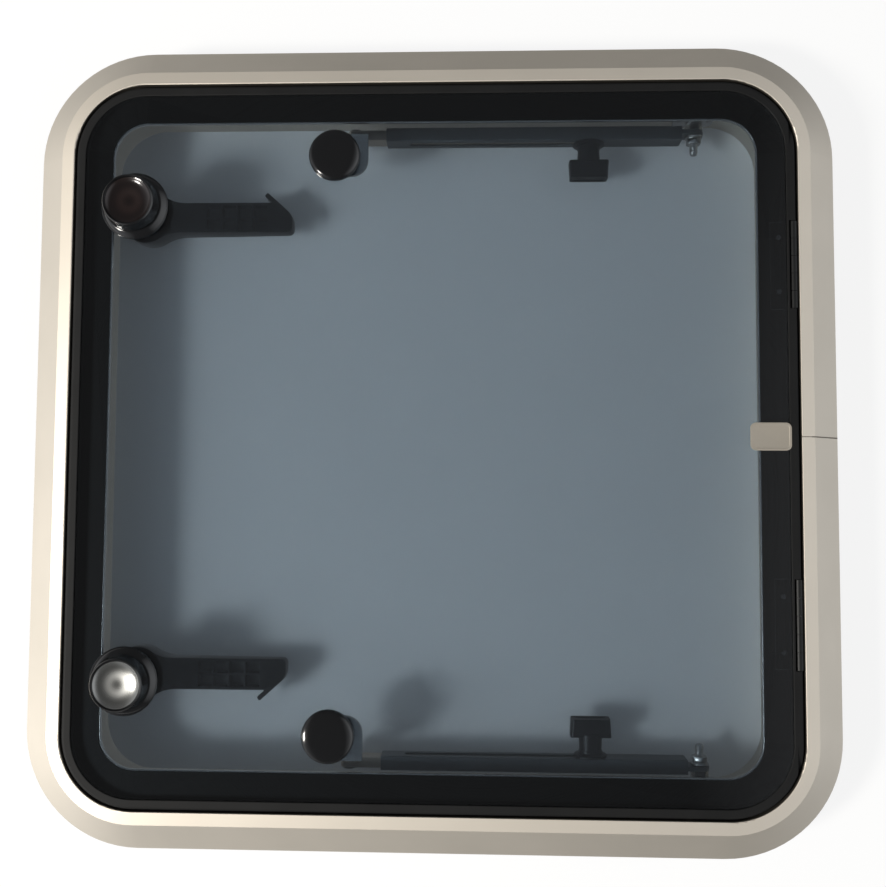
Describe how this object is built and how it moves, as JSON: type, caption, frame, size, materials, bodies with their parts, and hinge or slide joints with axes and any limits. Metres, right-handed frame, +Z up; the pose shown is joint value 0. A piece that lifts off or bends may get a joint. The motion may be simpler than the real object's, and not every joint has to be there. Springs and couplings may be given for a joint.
{
  "type": "boat deck hatch",
  "caption": "Square deck hatch with a sloped anodised rim, a hinged tinted lens, through-lens turning handles and telescopic clamp stays.",
  "frame": {"origin": "middle of the hatch on the deck plane, which is the underside of the flange", "axes": "+Z up out of the deck, +X towards the hinge side, +Y towards the rear stay and handle"},
  "size_m": [0.6, 0.6, 0.0693],
  "materials": {
    "anodised_rim": "satin anodised",
    "rubber": "smooth extruded rubber",
    "tinted_lens": "polished tinted acrylic",
    "black_anodised": "black anodised",
    "plate": "satin, bare",
    "stainless": "polished stainless",
    "stay_grey": "grey anodised",
    "stay_bar": "satin anodised",
    "gloss_black": "gloss moulded",
    "matte_black": "satin moulded"
  },
  "bodies": {
    "base": {"base_frame": "anodised_rim", "weather_seal": "rubber", "hinge_base_screws": "stainless", "keeper_screws": "stainless", "stay_anchor_screws": "stainless", "hinge_base_front": "stainless", "hinge_base_rear": "stainless", "hinge_pin_front": "stainless", "hinge_pin_rear": "stainless", "keeper_front": "matte_black", "keeper_rear": "matte_black", "stay_anchor_front": "stainless", "stay_anchor_rear": "stainless", "stay_bolt_front": "stainless", "stay_bolt_rear": "stainless", "stay_nut_front": "stainless", "stay_nut_rear": "stainless"},
    "lid": {"lens": "tinted_lens", "lid_frame": "black_anodised", "lens_gasket": "rubber", "name_plate": "plate", "hinge_leaf_screws": "stainless", "hinge_leaf_front": "stainless", "hinge_leaf_rear": "stainless", "handle_bezel_front": "gloss_black", "handle_bezel_rear": "gloss_black", "handle_nut_front": "matte_black", "handle_nut_rear": "matte_black", "stay_cap_front": "gloss_black", "stay_cap_rear": "gloss_black", "stay_cap_washer_front": "rubber", "stay_cap_washer_rear": "rubber", "stay_stud_front": "stainless", "stay_stud_rear": "stainless", "stay_stud_nut_front": "stainless", "stay_stud_nut_rear": "stainless", "stay_bracket_front": "stainless", "stay_bracket_rear": "stainless"},
    "handle_front": {"handle_knob_front": "gloss_black", "handle_spindle_front": "stainless", "handle_lever_front": "matte_black", "handle_screw_front": "stainless"},
    "tube_front": {"stay_channel_front": "stay_grey"},
    "slider_front": {"stay_bar_front": "stay_bar", "stay_rivet_front": "stainless"},
    "clamp_front": {"stay_knob_front": "matte_black", "stay_knob_stud_front": "stainless"},
    "handle_rear": {"handle_knob_rear": "gloss_black", "handle_spindle_rear": "stainless", "handle_lever_rear": "matte_black", "handle_screw_rear": "stainless"},
    "tube_rear": {"stay_channel_rear": "stay_grey"},
    "slider_rear": {"stay_bar_rear": "stay_bar", "stay_rivet_rear": "stainless"},
    "clamp_rear": {"stay_knob_rear": "matte_black", "stay_knob_stud_rear": "stainless"}
  },
  "joints": [
    {"name": "lid_hinge", "type": "hinge", "parent": "base", "child": "lid", "pos_m": [0.265, 0, 0.0172], "axis": [0, 1, 0], "range_deg": [0, 90]},
    {"name": "handle_front_turn", "type": "hinge", "parent": "lid", "child": "handle_front", "pos_m": [-0.221, -0.175, 0.02], "axis": [0, 0, 1], "range_deg": [0, 90]},
    {"name": "tube_front_pivot", "type": "hinge", "parent": "base", "child": "tube_front", "pos_m": [0.1995, -0.238, -0.012], "axis": [0, 1, 0], "range_deg": [0, 96.1]},
    {"name": "slider_front_slide", "type": "slide", "parent": "tube_front", "child": "slider_front", "axis": [-1, 0, 0], "range_m": [0, 0.0968]},
    {"name": "clamp_front_turn", "type": "hinge", "parent": "slider_front", "child": "clamp_front", "pos_m": [0.1195, -0.22, -0.012], "axis": [0, 1, 0], "range_deg": [0, 180]},
    {"name": "handle_rear_turn", "type": "hinge", "parent": "lid", "child": "handle_rear", "pos_m": [-0.221, 0.175, 0.02], "axis": [0, 0, 1], "range_deg": [-90, 0]},
    {"name": "tube_rear_pivot", "type": "hinge", "parent": "base", "child": "tube_rear", "pos_m": [0.1995, 0.238, -0.012], "axis": [0, 1, 0], "range_deg": [0, 96.1]},
    {"name": "slider_rear_slide", "type": "slide", "parent": "tube_rear", "child": "slider_rear", "axis": [-1, 0, 0], "range_m": [0, 0.0968]},
    {"name": "clamp_rear_turn", "type": "hinge", "parent": "slider_rear", "child": "clamp_rear", "pos_m": [0.1195, 0.22, -0.012], "axis": [0, 1, 0], "range_deg": [0, 180]}
  ],
  "couplings": [
    {"joint": "tube_front_pivot", "follows": "lid_hinge", "ratio": 1.0651},
    {"joint": "slider_front_slide", "follows": "lid_hinge", "m_per_rad": 0.061471},
    {"joint": "tube_rear_pivot", "follows": "lid_hinge", "ratio": 1.0651},
    {"joint": "slider_rear_slide", "follows": "lid_hinge", "m_per_rad": 0.061471}
  ]
}
